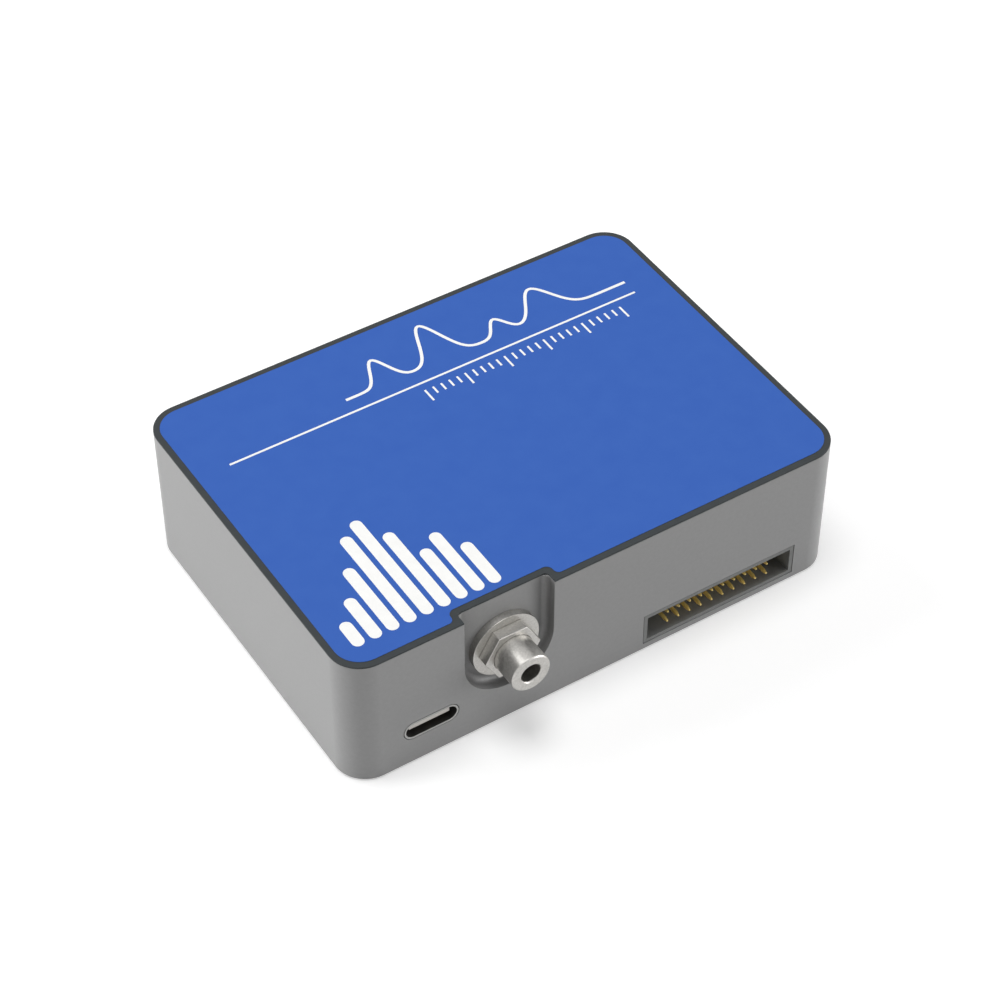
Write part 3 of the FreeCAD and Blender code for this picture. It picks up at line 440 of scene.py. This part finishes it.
def paint_sleeve_shade(sleeve):
    """Painted shade: the inside of the port's sleeve, behind its bright mouth, gets a dull dark
    colour for the shade in there.
    """
    low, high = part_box("usb_shell")
    centre_x = (low.x + high.x) / 2
    centre_z = (low.z + high.z) / 2
    radius = (high.z - low.z) / 2
    flat = (high.x - low.x) / 2 - radius
    sleeve.data.materials.append(materials["sleeve_inside"])
    for face in sleeve.data.polygons:
        middle = face.center
        across = max(abs(middle.x - centre_x) - flat, 0)
        from_axis = math.hypot(across, middle.z - centre_z)
        if from_axis < radius - SLEEVE_SKIN and middle.y > low.y + SLEEVE_MOUTH:
            face.material_index = 1


def lighten_front(tongue):
    """The metal plate in the tongue's middle shows along its front edge."""
    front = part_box("usb_tongue")[0].y
    tongue.data.materials.append(materials["tongue_edge"])
    for face in tongue.data.polygons:
        if face.center.y < front + TONGUE_FRONT:
            face.material_index = 1


def flat_print(name, outlines):
    """Thin printed shapes on the label from closed outlines of (x, y) points, in mm."""
    bm = bmesh.new()
    for outline in outlines:
        foot, head = ([bm.verts.new((x * MM, y * MM, z)) for x, y in outline]
                      for z in (PRINT_TOP - PRINT_THICKNESS, PRINT_TOP))
        bm.faces.new(foot)
        bm.faces.new(head)
        for index in range(len(outline)):
            bm.faces.new((foot[index - 1], foot[index], head[index], head[index - 1]))
    bmesh.ops.recalc_face_normals(bm, faces=bm.faces)
    new_piece(name, bm, "white_print")


def strip(x_low, x_high, y_low, y_high):
    """The corners of an upright rectangle."""
    return [(x_low, y_low), (x_high, y_low), (x_high, y_high), (x_low, y_high)]


def pill(x, y, width, height):
    """A bar with round ends that stands on (x, y), the middle of its foot."""
    radius = min(width, height) / 2
    points = []
    for centre_y, start in ((y + height - radius, 0), (y + radius, 180)):
        for index in range(BAR_END_STEPS + 1):
            turn = math.radians(start + 180 * index / BAR_END_STEPS)
            points.append((x + radius * math.cos(turn), centre_y + radius * math.sin(turn)))
    return points


def peak_height(x):
    """The height of the made-up spectrum, a few smooth peaks, over its base in mm."""
    return sum(height * math.exp(-((x - centre) / spread) ** 2)
               for centre, height, spread in SPECTRUM_PEAKS)


def curve_ribbon():
    """The outline of the made-up spectrum, drawn as one line of even width."""
    low, high = CURVE_SPAN
    line = []
    for index in range(CURVE_STEPS + 1):
        x = low + (high - low) * index / CURVE_STEPS
        line.append(Vector((x, CURVE_BASE + peak_height(x))))
    upper, lower = [], []
    for index, point in enumerate(line):
        ahead = line[min(index + 1, CURVE_STEPS)] - line[max(index - 1, 0)]
        side = Vector((-ahead.y, ahead.x)).normalized() * CURVE_WIDTH / 2
        upper.append(tuple(point + side))
        lower.append(tuple(point - side))
    return lower + upper[::-1]


def label_marks():
    """The label's plain marks: a rule with a scale, a row of bars and a spectrum curve."""
    outlines = [strip(*RULE_SPAN, RULE_Y - RULE_WIDTH / 2, RULE_Y + RULE_WIDTH / 2)]
    for index in range(TICK_COUNT):
        x = TICK_START + index * TICK_PITCH
        length = TICK_SHORT if index % TICK_GROUP else TICK_LONG
        outlines.append(strip(x - TICK_WIDTH / 2, x + TICK_WIDTH / 2,
                              RULE_Y - TICK_DROP - length, RULE_Y - TICK_DROP))
    for index, height in enumerate(BAR_HEIGHTS):
        outlines.append(pill(BAR_START + index * BAR_PITCH, BAR_FOOT, BAR_WIDTH, height))
    return outlines + [curve_ribbon()]


make_camera()
make_world()
make_floor()
for lamp, values in LAMPS.items():
    area_light(lamp, *values)
slots = {row["node"]: row["material_slot"] for row in frame["record"]["subparts"]}
materials = dress_nodes()

finished_copy("housing", "milled_body", BODY_EDGE, change=round_alcove)
finished_copy("faceplate", "top_frame", FRAME_EDGE)
finished_copy("label_panel", "label_film", FILM_EDGE, segments=1, change=lower_label)
flat_print("label_print", label_marks())
finished_copy("fibre_connector_body", "socket_barrel", BARREL_EDGE)
finished_copy("connector_washer", "socket_washer", WASHER_EDGE)
finished_copy("connector_nut", "socket_nut", NUT_EDGE)
finished_copy("header_shroud", "header_housing", HEADER_EDGE)
finished_copy("header_pins", "gold_pins", PIN_EDGE)
paint_sleeve_shade(finished_copy("usb_shell", "port_sleeve", PORT_EDGE))
lighten_front(finished_copy("usb_tongue", "port_tongue", PORT_EDGE))

bpy.context.scene.view_settings.view_transform = "Standard"
